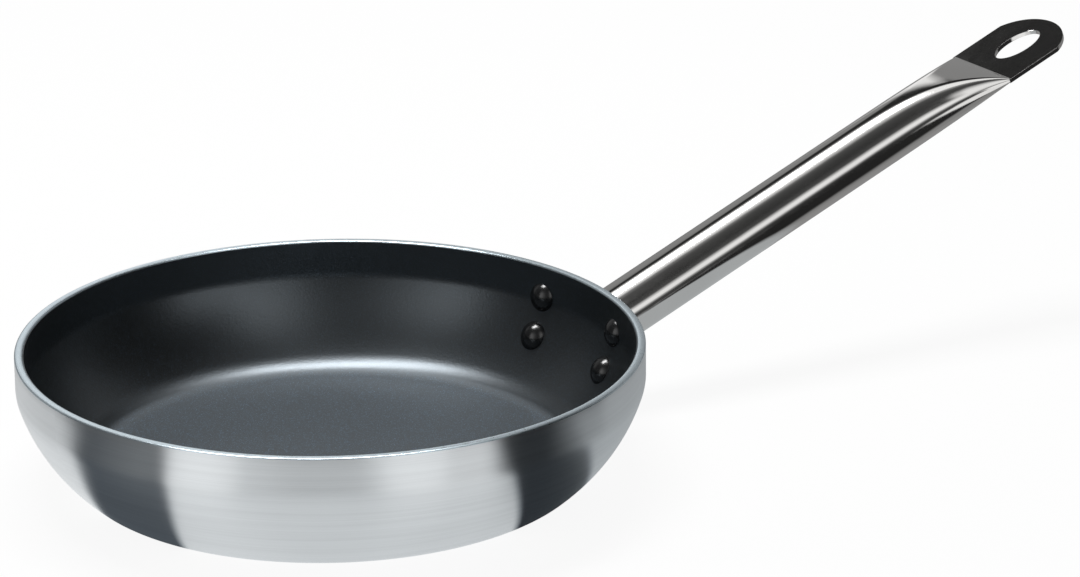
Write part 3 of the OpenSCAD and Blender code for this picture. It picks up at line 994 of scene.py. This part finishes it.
class PAN_OT_stage(bpy.types.Operator):
    """Set up the pale floor, the studio light and the camera"""

    bl_idname = "cookware.stage"
    bl_label = "Stage"

    # Share of plain white in what the camera sees of the floor; the rest is lit and holds the shadow
    floor_white = 0.92
    floor_radius = 3.0
    # The floor lies this much under the base, so that the two faces don't fight
    floor_gap = 0.0004

    def floor(self):
        bm = bmesh.new()
        bmesh.ops.create_circle(bm, cap_ends=True, segments=96, radius=self.floor_radius)
        bmesh.ops.translate(bm, verts=bm.verts, vec=(0, 0, -self.floor_gap))
        mesh = bpy.data.meshes.new("floor")
        bm.to_mesh(mesh)
        bm.free()
        floor = bpy.data.objects.new("floor", mesh)
        bpy.context.collection.objects.link(floor)
        material = bpy.data.materials.new("pale_floor")
        material.use_nodes = True
        nodes = Nodes(material.node_tree)
        surface = material.node_tree.nodes["Principled BSDF"]
        surface.inputs["Base Color"].default_value = (0.96, 0.96, 0.96, 1)
        surface.inputs["Roughness"].default_value = 0.9
        surface.inputs["Specular IOR Level"].default_value = 0.0
        white = nodes.new("ShaderNodeEmission")
        white.inputs["Strength"].default_value = 1.0
        rays = nodes.new("ShaderNodeLightPath")
        share = nodes.math("MULTIPLY", rays.outputs["Is Camera Ray"], self.floor_white)
        seen = nodes.mix_shader(share, surface.outputs[0], white.outputs[0])
        seen = nodes.mix_shader(rays.outputs["Is Glossy Ray"], seen, self.cards(nodes))
        nodes.link(seen, material.node_tree.nodes["Material Output"].inputs["Surface"])
        mesh.materials.append(material)

    def cards(self, n):
        """What shining metal sees of the floor: white card in front and behind, black card at the sides"""
        place = n.new("ShaderNodeTexCoord")
        x, y, _ = self.photo_axes(n, place.outputs["Object"])
        radius = n.from_axis(x, y)
        from_front = self.from_front(n, x, y)

        def past(edge, soft):
            """Share that lies past an edge, on the side away from the front"""
            side, near, far = edge
            slope = (far - near) / (FAR_RING - NEAR_RING)
            line = n.math("ADD", n.math("MULTIPLY", radius, slope), near - slope * NEAR_RING)
            return n.spread(n.math("SUBTRACT", n.math("MULTIPLY", from_front, side), line), 0, 1, -soft, soft)

        def short_of(edge):
            return n.math("SUBTRACT", 1.0, past(edge, FRONT_CARD_FADE))

        front = n.math("MULTIPLY", short_of(FRONT_CARD_LEFT), short_of(FRONT_CARD_RIGHT))
        # The flank sees the card's near part; the band sees its far part, which is dimmer in the middle
        sides = n.math("MAXIMUM", n.spread(from_front, 1, 0, -30, -23), n.spread(from_front, 0, 1, 10, 20))
        far_part = n.math("ADD", n.math("MULTIPLY", sides, FAR_PART_MORE), FAR_PART_LEVEL)
        level = n.mix_colour(n.spread(radius, 0, 1, *FAR_PART_BEGINS), FRONT_CARD_GREY, far_part)
        white = n.math("MULTIPLY", front, level)
        for edge, level in SIDE_CARDS:
            white = n.plus(white, past(edge, SIDE_CARD_FADE), level)
        # The black card is greyer on the left, where its far part catches some light
        lit = n.within(from_front, (-72, -54), (-50, -46))
        glow = n.math("MULTIPLY", lit, n.spread(radius, 0, 0.30, 0.17, 0.23))
        black = n.math("ADD", glow, n.spread(from_front, 0.085, 0.035, -20, 20))
        card = n.new("ShaderNodeEmission")
        n.link(n.ramp(n.math("ADD", white, black), CARD_TONES), card.inputs["Color"])
        clear = n.new("ShaderNodeBsdfTransparent")
        return n.mix_shader(n.spread(radius, 0, 1, *CARDS_END), card.outputs[0], clear.outputs[0])

    def photo_axes(self, n, place):
        """Right, away and up as the camera stands"""
        turn = n.new("ShaderNodeMapping", vector_type="POINT")
        turn.inputs["Rotation"].default_value = (0, 0, math.radians(-VIEW_AZIMUTH))
        n.link(place, turn.inputs["Vector"])
        split = n.new("ShaderNodeSeparateXYZ")
        n.link(turn.outputs[0], split.inputs[0])
        return split.outputs

    def from_front(self, n, x, y):
        """Degrees round from the camera's side, positive to the right"""
        return n.math("DEGREES", n.math("ARCTAN2", x, n.math("MULTIPLY", y, -1.0)))

    def studio(self):
        """What shining metal sees: pale panels in front and behind, and dark openings between them"""
        world = bpy.data.worlds.new("studio")
        bpy.context.scene.world = world
        world.use_nodes = True
        world.node_tree.nodes.clear()
        n = Nodes(world.node_tree)
        place = n.new("ShaderNodeTexCoord")
        x, y, z = self.photo_axes(n, place.outputs["Generated"])
        # In degrees: how far round from the camera's side and from the back, and how high
        from_front = self.from_front(n, x, y)
        aside = n.math("ABSOLUTE", from_front)
        from_back = n.math("DEGREES", n.math("ARCTAN2", x, y))
        rise = n.math("DEGREES", n.math("ARCSINE", z))

        def by_angle(value, stops):
            """Grey that follows an angle, each stop given as degrees and grey"""
            places = [((at + 90) / 180, (grey,) * 3) for at, grey in stops]
            return n.ramp(n.spread(value, 0, 1, -90, 90), places)

        # The other panels take over from the middle one to its left and right
        middle, left, right, strip = (
            by_angle(rise, stops) for stops in (FRONT_MIDDLE, FRONT_LEFT, FRONT_RIGHT, FRONT_STRIP)
        )
        front = n.mix_colour(by_angle(from_front, [(-44, 1), (-29, 0.38), (-12, 0)]), middle, left)
        front = n.mix_colour(by_angle(from_front, [(8, 0), (19, 1)]), front, right)
        front = n.mix_colour(by_angle(from_front, [(38, 0), (42, 1)]), front, strip)
        gap_left, gap_right = by_angle(rise, GAP_LEFT), by_angle(rise, GAP_RIGHT)
        between = n.mix_colour(n.spread(from_front, 0, 1, -20, 20), gap_left, gap_right)
        # A black flag hangs behind, its lower edge slanting down to the right
        edge = n.math("MAXIMUM", n.math("MINIMUM", n.math("SUBTRACT", 24.0, from_back), 52.0), 29.0)
        above = n.spread(n.math("SUBTRACT", rise, edge), 0, 1, -1, 1)
        below = n.spread(rise, 1, 0, 51, 53)
        short = n.spread(from_back, 1, 0, 39, 41)
        flag = n.math("MULTIPLY", n.math("MULTIPLY", above, below), short)
        behind = n.mix_colour(flag, by_angle(rise, BEHIND), FLAG_GREY)
        # A white card straight behind lights the flat face of the rim
        width, height = n.within(from_back, (-9, -6), (-1.5, 1.5)), n.within(rise, (6, 12), (30, 34))
        behind = n.mix_colour(n.math("MULTIPLY", width, height), behind, (1, 1, 1, 1))
        seen = n.mix_colour(n.spread(aside, 1, 0, *FRONT_ENDS), between, front)
        seen = n.mix_colour(n.spread(aside, 0, 1, *BACK_BEGINS), seen, behind)
        gloss = n.new("ShaderNodeBackground")
        n.link(seen, gloss.inputs["Color"])
        plain, white = n.new("ShaderNodeBackground"), n.new("ShaderNodeBackground")
        for light in (plain, white):
            light.inputs["Color"].default_value = (1, 1, 1, 1)
        plain.inputs["Strength"].default_value = EVEN_LIGHT
        rays = n.new("ShaderNodeLightPath")
        lit = n.mix_shader(rays.outputs["Is Glossy Ray"], plain.outputs[0], gloss.outputs[0])
        lit = n.mix_shader(rays.outputs["Is Camera Ray"], lit, white.outputs[0])
        n.link(lit, n.new("ShaderNodeOutputWorld").inputs["Surface"])

    def lamp(self):
        """Hangs the lamp, facing the origin"""
        data = bpy.data.lights.new("overhead_panel", "AREA")
        data.shape = "RECTANGLE"
        data.size, data.size_y = LAMP_SIZE
        data.energy = LAMP_POWER
        lamp = bpy.data.objects.new("overhead_panel", data)
        lamp.location = Matrix.Rotation(math.radians(VIEW_AZIMUTH), 3, "Z") @ Vector(LAMP_PLACE)
        lamp.rotation_euler = (-lamp.location).to_track_quat("-Z", "Y").to_euler()
        bpy.context.collection.objects.link(lamp)
        lamp.visible_camera = False

    def camera(self):
        data = bpy.data.cameras.new("camera")
        data.lens = LENS
        data.sensor_width = SENSOR
        data.clip_end = 20
        camera = bpy.data.objects.new("camera", data)
        camera.matrix_world = camera_matrix()
        bpy.context.collection.objects.link(camera)
        return camera

    def execute(self, context):
        self.floor()
        self.studio()
        self.lamp()
        context.scene.camera = self.camera()
        context.scene.view_settings.view_transform = "Standard"
        return {"FINISHED"}


class PAN_PT_panel(bpy.types.Panel):
    """Lists the pan's sizes, colours and pieces"""

    bl_idname = "PAN_PT_panel"
    bl_label = "Omelette pan"
    bl_space_type = "VIEW_3D"
    bl_region_type = "UI"
    bl_category = "Pan"

    def draw(self, context):
        for group in ("pan_bowl", "pan_handle", "pan_colours"):
            values = getattr(context.scene, group)
            box = self.layout.box()
            for name in values.bl_rna.properties.keys():
                if name not in ("rna_type", "name"):
                    box.prop(values, name)
        for step in STEPS:
            self.layout.operator(step.bl_idname)


STEPS = (
    PAN_OT_bowl, PAN_OT_lining, PAN_OT_handle, PAN_OT_bracket, PAN_OT_weld, PAN_OT_rivets, PAN_OT_rivet_films,
    PAN_OT_stage,
)
GROUPS = {"pan_bowl": PanBowlSizes, "pan_handle": PanHandleSizes, "pan_colours": PanColours}


def register():
    for item in (*GROUPS.values(), *STEPS, PAN_PT_panel):
        bpy.utils.register_class(item)
    for name, group in GROUPS.items():
        setattr(bpy.types.Scene, name, bpy.props.PointerProperty(type=group))


def unregister():
    for name in GROUPS:
        delattr(bpy.types.Scene, name)
    for item in reversed((*GROUPS.values(), *STEPS, PAN_PT_panel)):
        bpy.utils.unregister_class(item)


def main():
    register()
    for step in STEPS:
        group, name = step.bl_idname.split(".")
        getattr(getattr(bpy.ops, group), name)()


if __name__ == "__main__":
    main()
